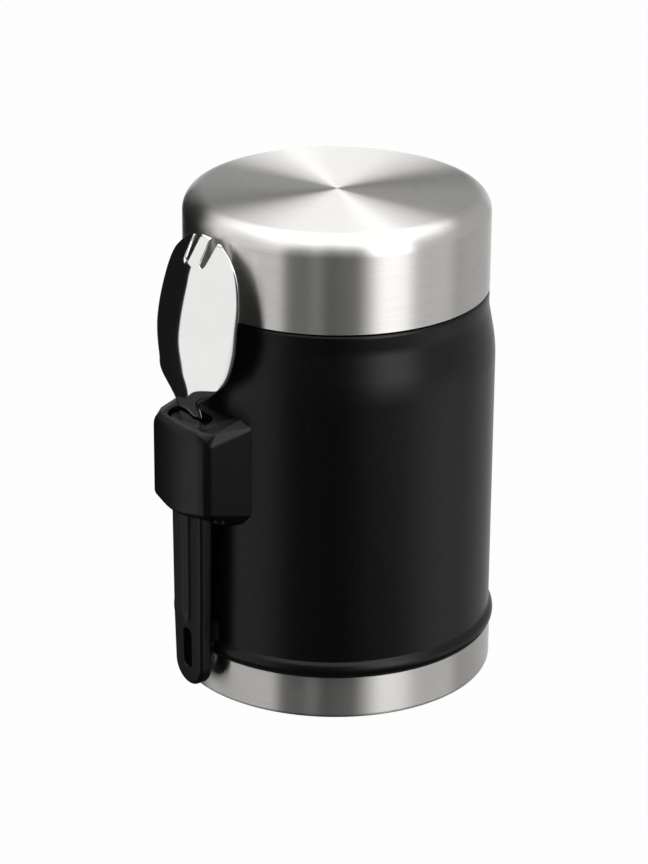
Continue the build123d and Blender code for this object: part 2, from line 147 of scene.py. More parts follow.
def spread(tree, factor, low, high, from_low=0.3, from_high=0.7):
    """Maps a noise's middle range to low..high."""
    return add_node(
        tree,
        "ShaderNodeMapRange",
        {"Value": factor, "From Min": from_low, "From Max": from_high, "To Min": low, "To Max": high},
    ).outputs[0]


def tinted(tree, factor, dark, light):
    """A colour between two, by a factor."""
    return add_node(
        tree,
        "ShaderNodeMix",
        {"Factor": factor, "A": (*dark, 1), "B": (*light, 1)},
        data_type="RGBA",
    ).outputs["Result"]


def bump(tree, height, depth_mm, strength=1.0):
    return add_node(
        tree,
        "ShaderNodeBump",
        {"Height": height, "Distance": depth_mm * MM, "Strength": strength},
    ).outputs["Normal"]


def brush_streaks(tree, across_per_mm, turns):
    """Noise drawn out round the jar's axis, as a turning brush leaves it. It runs along the
    profile, from the middle of a top face out and down the wall."""
    place = object_place(tree)
    parts = add_node(tree, "ShaderNodeSeparateXYZ", {"Vector": place}).outputs
    flat = add_node(tree, "ShaderNodeCombineXYZ", {"X": parts["X"], "Y": parts["Y"]}).outputs[0]
    radius = add_node(
        tree, "ShaderNodeVectorMath", {0: flat}, operation="LENGTH"
    ).outputs["Value"]
    outward = add_node(
        tree, "ShaderNodeVectorMath", {0: flat}, operation="NORMALIZE"
    ).outputs["Vector"]
    around = add_node(tree, "ShaderNodeSeparateXYZ", {"Vector": outward}).outputs
    run = math_node(tree, "SUBTRACT", radius, parts["Z"])
    streak = add_node(
        tree,
        "ShaderNodeCombineXYZ",
        {
            "X": math_node(tree, "MULTIPLY", around["X"], turns),
            "Y": math_node(tree, "MULTIPLY", around["Y"], turns),
            "Z": math_node(tree, "MULTIPLY", run, across_per_mm / MM),
        },
    ).outputs[0]
    return add_node(
        tree, "ShaderNodeTexNoise", {"Vector": streak, "Scale": 1.0, "Detail": 3.0}
    ).outputs["Fac"]


def round_the_axis(tree):
    """Direction of the brushing: level, round the piece's own axis."""
    side = add_node(
        tree, "ShaderNodeVectorMath", {0: (0, 0, 1), 1: object_place(tree)},
        operation="CROSS_PRODUCT",
    ).outputs["Vector"]
    turned_side = add_node(
        tree, "ShaderNodeVectorTransform", {"Vector": side}, vector_type="VECTOR",
        convert_from="OBJECT", convert_to="WORLD",
    ).outputs["Vector"]
    return add_node(
        tree, "ShaderNodeVectorMath", {0: turned_side}, operation="NORMALIZE"
    ).outputs["Vector"]


# ---- Finishes ------------------------------------------------------------------------
FINE_SHARE, BROAD_SHARE = 0.6, 0.4  # of the fine and the broad brush marks in the steel
BRUSHED_GLOSS = 0.04  # how far the brush marks move the roughness either way
PLAIN_GLOSS = 0.05
MARK_STRETCH = 0.06  # polishing marks run upright, this much slower than across
FLAKES_PER_MM = 5.5
FLAKE_CHANCE = 0.93  # cells above this hold a bright flake


def brushed_steel(name, dark, light, roughness):
    """Stainless steel brushed round the jar's axis."""
    material, tree, shader = new_material(
        name, Metallic=1.0, Anisotropic=1.0, Anisotropic_Rotation=0.25
    )
    fine = brush_streaks(tree, across_per_mm=7.0, turns=5.0)
    broad = brush_streaks(tree, across_per_mm=2.2, turns=1.6)
    both = math_node(
        tree, "ADD",
        math_node(tree, "MULTIPLY", fine, FINE_SHARE),
        math_node(tree, "MULTIPLY", broad, BROAD_SHARE),
    )
    feed(
        tree,
        shader,
        Base_Color=tinted(tree, spread(tree, both, low=0.0, high=1.0), dark, light),
        Roughness=spread(tree, both, low=roughness + BRUSHED_GLOSS, high=roughness - BRUSHED_GLOSS),
        Normal=bump(tree, fine, depth_mm=0.003),
        Tangent=round_the_axis(tree),
    )
    return material


def polished_steel():
    """Mirror-polished stainless steel, with the faint marks of the wheel."""
    material, tree, shader = new_material("polished_steel", Metallic=1.0)
    place = object_place(tree)
    haze = noise(tree, place, per_mm=0.12)
    along = add_node(
        tree, "ShaderNodeMapping", {"Vector": place, "Scale": (1.0, 1.0, MARK_STRETCH)}
    ).outputs[0]
    marks = noise(tree, along, per_mm=5.0, detail=3.0)
    feed(
        tree,
        shader,
        Base_Color=tinted(tree, haze, dark=(0.78, 0.78, 0.77), light=(0.83, 0.83, 0.82)),
        Roughness=spread(tree, marks, low=0.05, high=0.09),
        Normal=bump(tree, haze, depth_mm=0.02),
    )
    return material


def powder_coat():
    """Black satin powder coat: a fine orange peel and a very fine sparkle."""
    material, tree, shader = new_material("powder_coat", Specular_IOR_Level=0.22)
    place = object_place(tree)
    peel = noise(tree, place, per_mm=2.6)
    cells = add_node(
        tree, "ShaderNodeTexVoronoi", {"Vector": place, "Scale": FLAKES_PER_MM / MM}
    ).outputs["Color"]
    chance = add_node(tree, "ShaderNodeSeparateColor", {"Color": cells}).outputs[0]
    flake = math_node(tree, "GREATER_THAN", chance, FLAKE_CHANCE)
    feed(
        tree,
        shader,
        Base_Color=tinted(
            tree, flake, dark=(0.0022, 0.0021, 0.0018), light=(0.011, 0.011, 0.011)
        ),
        Roughness=spread(tree, peel, low=0.3, high=0.38),
        Normal=bump(tree, peel, depth_mm=0.02),
    )
    return material


def moulded_black():
    """Black nylon from a finely grained mould."""
    material, tree, shader = new_material("moulded_black", Specular_IOR_Level=0.21)
    place = object_place(tree)
    grain = noise(tree, place, per_mm=4.5)
    cloud = noise(tree, place, per_mm=0.08)
    feed(
        tree,
        shader,
        Base_Color=tinted(
            tree, cloud, dark=(0.003, 0.003, 0.0031), light=(0.0045, 0.0045, 0.0047)
        ),
        Roughness=spread(tree, grain, low=0.29, high=0.37),
        Normal=bump(tree, grain, depth_mm=0.006),
    )
    return material


def plain_finish(name, dark, light, roughness, metallic=0.0, per_mm=0.5, depth_mm=0.004):
    """A plain finish with a little variation in colour, gloss and surface."""
    material, tree, shader = new_material(name, Metallic=metallic)
    cloud = noise(tree, object_place(tree), per_mm, detail=3.0)
    feed(
        tree,
        shader,
        Base_Color=tinted(tree, cloud, dark, light),
        Roughness=spread(tree, cloud, low=roughness - PLAIN_GLOSS, high=roughness + PLAIN_GLOSS),
        Normal=bump(tree, cloud, depth_mm),
    )
    return material


# ---- Shaping ---------------------------------------------------------------------------
THREAD_STARTS = 3
THREAD_LEAD = 12.0
THREAD_HEIGHT = 1.3
THREAD_BASE, THREAD_CREST = 1.8, 0.9  # widths of a ridge at the wall and on top
THREAD_SINK = 0.3  # how deep a ridge is rooted in the wall
THREAD_STEPS = 48
SHARP_BEND = 1  # radians: a square edge, against those of a rounding


def make_piece(bm, name, material, body, stands_for, sharp=35):
    """Turns a bmesh into a piece that rides on a body, smooth but for its sharp edges."""
    for face in bm.faces:
        face.smooth = True
    for edge in bm.edges:
        edge.smooth = edge.is_manifold and edge.calc_face_angle(0) < radians(sharp)
    mesh = bpy.data.meshes.new(name)
    bm.to_mesh(mesh)
    bm.free()
    mesh.materials.append(material)
    piece = bpy.data.objects.new(name, mesh)
    bpy.context.scene.collection.objects.link(piece)
    weighted = piece.modifiers.new("even shading", "WEIGHTED_NORMAL")
    weighted.keep_sharp = True
    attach(piece, body)
    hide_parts(stands_for)
    return piece


def hoop_at(bm, radius, height):
    """The edges that run round the axis at a radius and height."""

    def on_it(vert):
        return hypot(hypot(vert.co.x, vert.co.y) - radius * MM, vert.co.z - height * MM) < 5 * WELD

    return [edge for edge in bm.edges if all(on_it(vert) for vert in edge.verts)]


def turned(corners, steps=180, segments=10):
    """A closed profile spun about the axis. Each corner is a radius, a height and the
    radius of its rounding."""
    bm = bmesh.new()
    verts = [bm.verts.new((radius * MM, 0, height * MM)) for radius, height, _ in corners]
    edges = []
    for i, here in enumerate(corners):
        there = (i + 1) % len(corners)
        if here[0] > 0 or corners[there][0] > 0:
            edges.append(bm.edges.new((verts[i], verts[there])))
    bmesh.ops.spin(
        bm, geom=verts + edges, axis=(0, 0, 1), cent=(0, 0, 0), angle=FULL_TURN, steps=steps,
        use_merge=True,
    )
    bmesh.ops.remove_doubles(bm, verts=bm.verts, dist=WELD)
    bmesh.ops.recalc_face_normals(bm, faces=bm.faces)
    for i, (radius, height, rounding) in enumerate(corners):
        if rounding:
            here = Vector((radius, height))
            coming = here - Vector(corners[i - 1][:2])
            going = Vector(corners[(i + 1) % len(corners)][:2]) - here
            bmesh.ops.bevel(
                bm,
                geom=hoop_at(bm, radius, height),
                offset=rounding * MM * tan(coming.angle(going) / 2),
                offset_type="OFFSET",
                segments=segments,
                profile=0.5,
                affect="EDGES",
                material=-1,
            )
    return bm


def with_wall(corners, wall):
    """Closes a profile into a sheet. The second face lies one wall to the left of the way
    along the first, or to the right for a negative wall."""
    far_side = []
    for i, (radius, height, rounding) in enumerate(corners):
        here = Vector((radius, height))
        coming = (here - Vector(corners[i - 1][:2])).normalized() if i else None
        last = i == len(corners) - 1
        going = None if last else (Vector(corners[i + 1][:2]) - here).normalized()
        coming = coming or going
        going = going or coming
        left_before, left_after = Vector((-coming.y, coming.x)), Vector((-going.y, going.x))
        place = here + (left_before + left_after) * wall / (1 + left_before.dot(left_after))
        turn = coming.x * going.y - coming.y * going.x
        far_rounding = rounding - wall if turn > 0 else rounding + wall
        far_side.append((place.x, place.y, max(far_rounding, 0) if rounding else 0))
    return corners + far_side[::-1]


def add_thread(bm, root, facing, start, rise, turned_by):
    """Adds three helical ridges on a wall. facing is 1 for ridges that point outwards, and
    each ridge climbs by rise from start."""
    for number in range(THREAD_STARTS):
        turn = Matrix.Rotation(radians(turned_by + number * 360 / THREAD_STARTS), 3, "Z")
        outline = [
            (root - facing * THREAD_SINK, -THREAD_BASE / 2),
            (root, -THREAD_BASE / 2),
            (root + facing * THREAD_HEIGHT, -THREAD_CREST / 2),
            (root + facing * THREAD_HEIGHT, THREAD_CREST / 2),
            (root, THREAD_BASE / 2),
            (root - facing * THREAD_SINK, THREAD_BASE / 2),
        ]
        verts = [bm.verts.new(turn @ Vector((r, 0, start + z)) * MM) for r, z in outline]
        face = bm.faces.new(verts)
        bmesh.ops.spin(
            bm,
            geom=verts + list(face.edges) + [face],
            axis=(0, 0, 1),
            cent=(0, 0, 0),
            dvec=(0, 0, rise / THREAD_STEPS * MM),
            angle=FULL_TURN * rise / THREAD_LEAD,
            steps=THREAD_STEPS,
        )
    bmesh.ops.recalc_face_normals(bm, faces=bm.faces)


def curve_through(*points):
    """A smooth curve through (place, value) points, as a function of the place."""
    places, values = zip(*points)
    last = len(points) - 1
    slopes = []
    for i in range(last + 1):
        low, high = max(i - 1, 0), min(i + 1, last)
        slopes.append((values[high] - values[low]) / (places[high] - places[low]))

    def value(place):
        i = max([k for k in range(last) if places[k] <= place], default=0)
        width = places[i + 1] - places[i]
        t = (place - places[i]) / width
        rising = t * t * (3 - 2 * t)
        return (
            values[i] * (1 - rising)
            + values[i + 1] * rising
            + width * t * (1 - t) * (slopes[i] * (1 - t) - slopes[i + 1] * t)
        )

    return value


def bevel_edges(bm, edges, radius, segments=5):
    bmesh.ops.bevel(
        bm, geom=edges, offset=radius * MM, offset_type="OFFSET", segments=segments,
        profile=0.5, affect="EDGES", material=-1,
    )


def rounded_block(bm, size, middle, low, corner, rim=0.0):
    """Adds an upright block with rounded corners, and rounded rims where rim is given."""
    width, depth, height = size
    made = bmesh.ops.create_cube(
        bm,
        size=1,
        matrix=Matrix.Translation(Vector((middle[0], middle[1], low + height / 2)) * MM)
        @ Matrix.Diagonal((width * MM, depth * MM, height * MM, 1)),
    )
    verts = made["verts"]
    upright = {
        edge for vert in verts for edge in vert.link_edges
        if abs(edge.verts[0].co.z - edge.verts[1].co.z) > height * MM / 2
    }
    before = set(bm.verts) - set(verts)
    bevel_edges(bm, list(upright), corner, segments=8)
    if rim:
        rims = [
            edge for edge in bm.edges
            if not before & set(edge.verts)
            and abs(edge.verts[0].co.z - edge.verts[1].co.z) < WELD
            and edge.calc_face_angle(0) > SHARP_BEND
        ]
        bevel_edges(bm, rims, rim)


def carved(bm, cutter):
    """The block with the cutter's shape taken out of it, as a new bmesh."""
    solids = []
    for shape in (bm, cutter):
        mesh = bpy.data.meshes.new("carving")
        shape.to_mesh(mesh)
        shape.free()
        solid = bpy.data.objects.new("carving", mesh)
        bpy.context.scene.collection.objects.link(solid)
        solids.append(solid)
    block, tool = solids
    cut = block.modifiers.new("cut", "BOOLEAN")
    cut.operation = "DIFFERENCE"
    cut.solver = "EXACT"
    cut.object = tool
    result = bmesh.new()
    result.from_mesh(block.evaluated_get(bpy.context.evaluated_depsgraph_get()).to_mesh())
    for solid in solids:
        mesh = solid.data
        bpy.data.objects.remove(solid)
        bpy.data.meshes.remove(mesh)
    return result


# ---- Body, foot and vessel -------------------------------------------------------------
SHELL_WALL = 0.6
FOOT_RADIUS = 46.4
FOOT_ROUNDING = 1.3
BEAD_LOW = 13.2
BEAD_CREST, BEAD_CREST_RADIUS, BEAD_CREST_ROUNDING = 15.8, 47.88, 2.68
BEAD_TOP, BEAD_TOP_ROUNDING = 18.0, 0.5
# the shoulder, as drops below the ledge: where it leaves the wall, and where it ends
SHOULDER_DROP, SHOULDER_ROUNDING = 16.95, 40
COLLAR_DROP, COLLAR_ROUNDING = 5.5, 12
LEDGE_ROUNDING = 1.2
NECK_FILLET = 1.4
NECK_THREAD_START, NECK_THREAD_RISE = 4.8, 8.0

# under the foot: the ring that stands, the recess inside it, and the dimple in its middle
RING_RADIUS, RING_ROUNDING = 41.0, 0.8
RECESS_DEPTH = 2
DIMPLE_RADIUS, DIMPLE_TOP, HOLE_RADIUS = 5.0, 3.3, 1.0
PAD_ROUNDING = 0.6

VESSEL_WALL = 0.5
VESSEL_RADIUS = 38.5
VESSEL_FLOOR, VESSEL_FLOOR_ROUNDING = 13.4, 6.0
VESSEL_SEAM = 20.0
VESSEL_TURN_LOW, VESSEL_TURN_HIGH, VESSEL_TURN_ROUNDING = 103.4, 112.4, 8
MOUTH_RADIUS, LIP_ROUNDING = 36.9, 1.0


def make_body(coat, steel, band_steel, rubber):
    """The coated shell with its bead, the bare neck, the foot, its pad, and the vessel."""
    wall = [
        (FOOT_RADIUS, BEAD_LOW, 0),
        (BEAD_CREST_RADIUS, BEAD_CREST, BEAD_CREST_ROUNDING),
        (body_radius, BEAD_TOP, BEAD_TOP_ROUNDING),
        (body_radius, ledge_height - SHOULDER_DROP, SHOULDER_ROUNDING),
        (shoulder_radius, ledge_height - COLLAR_DROP, COLLAR_ROUNDING),
        (shoulder_radius, ledge_height, LEDGE_ROUNDING),
        (neck_radius, ledge_height, NECK_FILLET),
        (neck_radius, coat_end, 0),
    ]
    make_piece(
        turned(with_wall(wall, SHELL_WALL)), "coated_body", coat, "jar",
        "outer_shell",
    )

    bare = [(neck_radius, coat_end, 0), (neck_radius, weld_height, 0)]
    neck = turned(with_wall(bare, SHELL_WALL))
    add_thread(
        neck, neck_radius, facing=1, start=ledge_height + NECK_THREAD_START,
        rise=NECK_THREAD_RISE, turned_by=0,
    )
    make_piece(neck, "threaded_neck", steel, "jar", "outer_shell")

    foot = [
        (FOOT_RADIUS, BEAD_LOW, 0),
        (FOOT_RADIUS, foot_low, FOOT_ROUNDING),
        (RING_RADIUS, foot_low, RING_ROUNDING),
        (RING_RADIUS, foot_low + RECESS_DEPTH, RING_ROUNDING),
        (DIMPLE_RADIUS, foot_low + RECESS_DEPTH, 0),
        (DIMPLE_RADIUS, foot_low + DIMPLE_TOP, 0),
        (HOLE_RADIUS, foot_low + DIMPLE_TOP, 0),
    ]
    make_piece(
        turned(with_wall(foot, -SHELL_WALL)), "foot_band", band_steel, "jar",
        "base_cup",
    )

    _, pad_top, pad_radius = extent("base_pad")
    pad = [
        (0, 0, 0), (pad_radius, 0, PAD_ROUNDING), (pad_radius, pad_top, PAD_ROUNDING),
        (0, pad_top, 0),
    ]
    make_piece(turned(pad), "foot_pad", rubber, "jar", "base_pad")

    inside = [
        (VESSEL_RADIUS, VESSEL_SEAM, 0),
        (VESSEL_RADIUS, VESSEL_TURN_LOW, VESSEL_TURN_ROUNDING),
        (MOUTH_RADIUS, VESSEL_TURN_HIGH, VESSEL_TURN_ROUNDING),
        (MOUTH_RADIUS, rim_height, LIP_ROUNDING),
        (neck_radius, rim_height, 0),
    ]
    make_piece(
        turned(with_wall(inside, -VESSEL_WALL)), "food_vessel", steel, "jar",
        "inner_vessel",
    )
    floor = [
        (VESSEL_RADIUS, VESSEL_SEAM, 0),
        (VESSEL_RADIUS, VESSEL_FLOOR, VESSEL_FLOOR_ROUNDING),
        (0, VESSEL_FLOOR, 0),
    ]
    make_piece(
        turned(with_wall(floor, VESSEL_WALL)), "vessel_floor", steel, "jar",
        "inner_bottom",
    )


# ---- Lid --------------------------------------------------------------------------------
CAP_WALL = 0.5
CAP_ROUNDING = 5.8
LINER_BORE = 41.2  # radius inside the threaded skirt
LINER_HOLE = 34.6  # radius of the hole in its disc, for the plug
LINER_DISC = 1.8
LINER_ROUNDING = 0.4
# the small rib under the disc that centres the seal
RIB_INNER, RIB_OUTER, RIB_DROP, RIB_ROUNDING = 39.6, 40.4, 3.1, 0.2
LID_THREAD_START, LID_THREAD_RISE, LID_THREAD_TURN = 5.32, 4.0, 60
PLUG_WALL = 1.6
PLUG_ROUNDING = 2.5
SEAL_BORE, SEAL_ROUNDING = 36.5, 0.4


def make_lid(steel, moulding, silicone):
    """The brushed cap, the threaded liner inside it, the plug and the seal."""
    cap = [(lid_radius, lid_low, 0), (lid_radius, lid_top, CAP_ROUNDING), (0, lid_top, 0)]
    make_piece(
        turned(with_wall(cap, CAP_WALL), steps=240, segments=16), "lid_cap", steel, "lid",
        "lid_shell",
    )

    liner_low, disc_top, liner_radius = extent("lid_liner")
    disc_low = disc_top - LINER_DISC
    rib_low = disc_top - RIB_DROP
    liner = [
        (liner_radius, liner_low, LINER_ROUNDING),
        (liner_radius, disc_top, 0),
        (LINER_HOLE, disc_top, 0),
        (LINER_HOLE, disc_low, 0),
        (RIB_INNER, disc_low, 0),
        (RIB_INNER, rib_low, RIB_ROUNDING),
        (RIB_OUTER, rib_low, RIB_ROUNDING),
        (RIB_OUTER, disc_low, 0),
        (LINER_BORE, disc_low, 0),
        (LINER_BORE, liner_low, LINER_ROUNDING),
    ]
    shape = turned(liner, segments=4)
    add_thread(
        shape, LINER_BORE, facing=-1, start=ledge_height + LID_THREAD_START,
        rise=LID_THREAD_RISE, turned_by=LID_THREAD_TURN,
    )
    make_piece(shape, "threaded_liner", moulding, "lid", "lid_liner")

    plug_low, plug_top, plug_radius = extent("lid_plug")
    plug = [
        (0, plug_low, 0), (plug_radius, plug_low, PLUG_ROUNDING), (plug_radius, plug_top, 0),
    ]
    make_piece(
        turned(with_wall(plug, PLUG_WALL)), "insulated_plug", moulding, "lid",
        "lid_plug",
    )

    seal_low, seal_top, seal_radius = extent("lid_seal")
    ring = [
        (SEAL_BORE, seal_low, SEAL_ROUNDING),
        (seal_radius, seal_low, SEAL_ROUNDING),
        (seal_radius, seal_top, SEAL_ROUNDING),
        (SEAL_BORE, seal_top, SEAL_ROUNDING),
    ]
    make_piece(
        turned(ring, segments=4), "seal_ring", silicone, "seal", "lid_seal"
    )


# ---- Spork's head --------------------------------------------------------------------------
SPORK_REACH = 52.0  # from the jar's axis to the middle of the handle's block
SPORK_SHEET = 1.0
TANG_FOOT = 70.0  # the sheet's lower end, inside the handle
NECK_FOOT = 85.5  # below this the tang keeps one width and reach
SLOT_FOOT = 133.0
HEAD_TIP = 140.0
HEAD_ROWS = 84
HEAD_LANES = 12, 16, 40  # columns in the middle tine, the two slots and the two side tines
# a slot's two edges, from the middle: shares of the half-width below the slots, and then
# places at the slot's foot and at the tip
SLOT_SHARES = 0.18, 0.318
SLOT_INNER, SLOT_OUTER = (2.6, 2.2), (4.5, 5.5)
SLOT_MIDDLE, SLOT_END_RADIUS = 3.55, 0.95
SLOT_EASE = 7  # the rows this far below a slot's round end give way to it
SIDE_TINE_LOSS = 0.13  # share by which the side tines are shorter than the middle one
BOWL_CURL = 0.0172

half_width_at = curve_through(
    (85.5, 5.8), (87.5, 5.5), (90.0, 5.3), (92.0, 5.3), (93.5, 6.1), (97.0, 11.05),
    (102.0, 15.8), (109.5, 18.2), (117.0, 18.1), (125.0, 17.1), (132.0, 14.6),
    (137.0, 10.45), (140.0, 6.2),
)
keel_at = curve_through(
    (85.5, 52.6), (90.0, 53.9), (93.5, 54.9), (97.0, 55.5), (102.0, 55.9), (109.5, 55.9),
    (117.0, 54.85), (125.0, 52.95), (132.0, 51.0), (137.0, 48.1), (140.0, 46.1),
)
# how far the sheet's edge lies back, per mm squared of half-width
curl_at = curve_through(
    (85.5, 0.035), (87.5, 0.05), (90.0, 0.072), (93.0, 0.064), (97.0, 0.0212), (102.0, 0.0185),
    (109.0, BOWL_CURL), (125.0, 0.0178), (132.0, 0.0198), (140.0, 0.0198),
)
# power of the curve across: 2 is a parabola, more is flatter in the middle
fullness_at = curve_through(
    (85.5, 4.6), (93.5, 4.2), (97.0, 3.0), (102.0, 2.45), (109.0, 2.1), (117.0, 2.0), (140.0, 2.0)
)


def between(ends, share):
    return ends[0] + (ends[1] - ends[0]) * share


def make_spork_head(steel):
    """The pressed head: a sheet mapped to the bowl's shape, in lanes that follow the tines."""
    middle_lane, slot_lanes, _ = HEAD_LANES
    columns = sum(HEAD_LANES)
    inner_step, outer_step, last_step = middle_lane / 2, (middle_lane + slot_lanes) / 2, columns / 2
    half_step = 0.5
    bm = bmesh.new()
    bmesh.ops.create_grid(bm, x_segments=columns, y_segments=HEAD_ROWS, size=1)

    def row_height(share):
        """Height of one of the flat grid's rows, which run from -1 to 1."""
        return TANG_FOOT + (share + 1) / 2 * (HEAD_TIP - TANG_FOOT)

    def lane_place(share, half, height):
        """Place across the head for a share of its columns, 0 in the middle and 1 outside."""
        if height < SLOT_FOOT:
            inner, outer = (slot_share * half for slot_share in SLOT_SHARES)
        else:
            climb = (height - SLOT_FOOT) / (HEAD_TIP - SLOT_FOOT)
            inner, outer = between(SLOT_INNER, climb), between(SLOT_OUTER, climb)
        places = [0, inner, outer, half]
        counts = [0, inner_step, outer_step, last_step]
        steps = share * last_step
        lane = 0 if steps <= inner_step else 1 if steps <= outer_step else 2
        way = (steps - counts[lane]) / (counts[lane + 1] - counts[lane])
        return places[lane] + way * (places[lane + 1] - places[lane])

    slot_faces = []
    for face in bm.faces:
        middle = face.calc_center_median()
        in_slot = inner_step < abs(middle.x) * last_step < outer_step
        if in_slot and row_height(middle.y) > SLOT_FOOT:
            slot_faces.append(face)
    bmesh.ops.delete(bm, geom=slot_faces, context="FACES")

    for vert in bm.verts:
        height = row_height(vert.co.y)
        half = half_width_at(max(height, NECK_FOOT))
        x = lane_place(abs(vert.co.x), half, height)
        # round the closed ends of the slots, and ease the rows below them
        from_middle = min(abs(x - SLOT_MIDDLE) / SLOT_END_RADIUS, 1)
        drop = SLOT_END_RADIUS * (1 - from_middle ** 2) ** 0.5
        ease = max(1 - max(SLOT_FOOT - height, 0) / SLOT_EASE, 0)
        if height > SLOT_FOOT + half_step:
            ease = 0
        height -= drop * ease * ease
        if height > SLOT_FOOT and abs(vert.co.x) * last_step > outer_step - half_step:
            height -= SIDE_TINE_LOSS * (height - SLOT_FOOT)
        x = x if vert.co.x > 0 else -x
        bowl_height = max(height, NECK_FOOT)
        half = half_width_at(bowl_height)
        back = curl_at(bowl_height) * half * half
        reach = keel_at(bowl_height) - back * abs(x / half) ** fullness_at(bowl_height)
        vert.co = Vector((x, -reach, height)) * MM
    bmesh.ops.recalc_face_normals(bm, faces=bm.faces)
    if sum(face.normal.y for face in bm.faces) > 0:
        bmesh.ops.reverse_faces(bm, faces=bm.faces)
    piece = make_piece(
        bm, "spork_bowl", steel, "spork", "spork_head", sharp=180
    )
    piece.modifiers.clear()
    sheet = piece.modifiers.new("sheet", "SOLIDIFY")
    sheet.thickness = SPORK_SHEET * MM
    sheet.offset = -1
    sheet.use_even_offset = True
    rounding = piece.modifiers.new("rounding", "SUBSURF")
    rounding.levels = rounding.render_levels = 1


# ---- Spork's handle ------------------------------------------------------------------------
HANDLE_LOW, HANDLE_TOP = 4.5, 79.0
HANDLE_HALF = 6.5  # half its width, before it is drawn wider upwards
FACE_REACH, BACK_REACH = 54.0, 49.7
HANDLE_ROUNDING = 1.1
HANG_SLOT_WIDTH, HANG_SLOT_LENGTH, HANG_SLOT_LOW = 3.8, 12.2, 10.1
HANG_SLOT_ROUNDING = 0.35
CUTTER_DEPTH = 8.0  # goes right through the blade
GROOVE_HALF, GROOVE_DEPTH, GROOVE_LOW, GROOVE_FADE = 2.1, 0.6, 24.7, 3
GROOVE_CUTS = 4  # rows of edges on each side of the groove's middle
BACK_SWELL, BACK_SWELL_LOW, BACK_SWELL_LENGTH = 0.45, 15, 40
BACK_SWELL_DEPTH = 2  # how much of the thickness, from the back, the swelling moves
# the block between blade and bowl that stops the spork in its holder
BLOCK_SIZE, BLOCK_LOW, BLOCK_CORNER, BLOCK_RIM = (14.9, 6.5, 9.2), 77.5, 3.0, 0.9
HAIR = 0.01  # allowance when edges and points are picked by their place
SPECK = 0.004  # edges shorter than this are closed up

handle_half_at = curve_through(
    (4.5, 6.2), (15.0, 6.35), (28.0, 6.75), (48.0, 7.25), (60.0, 7.35), (79.0, 7.35)
)
handle_lean_at = curve_through((4.5, 0.75), (15.0, 0.4), (28.0, 0.25), (48.0, 0.12), (79.0, 0.0))


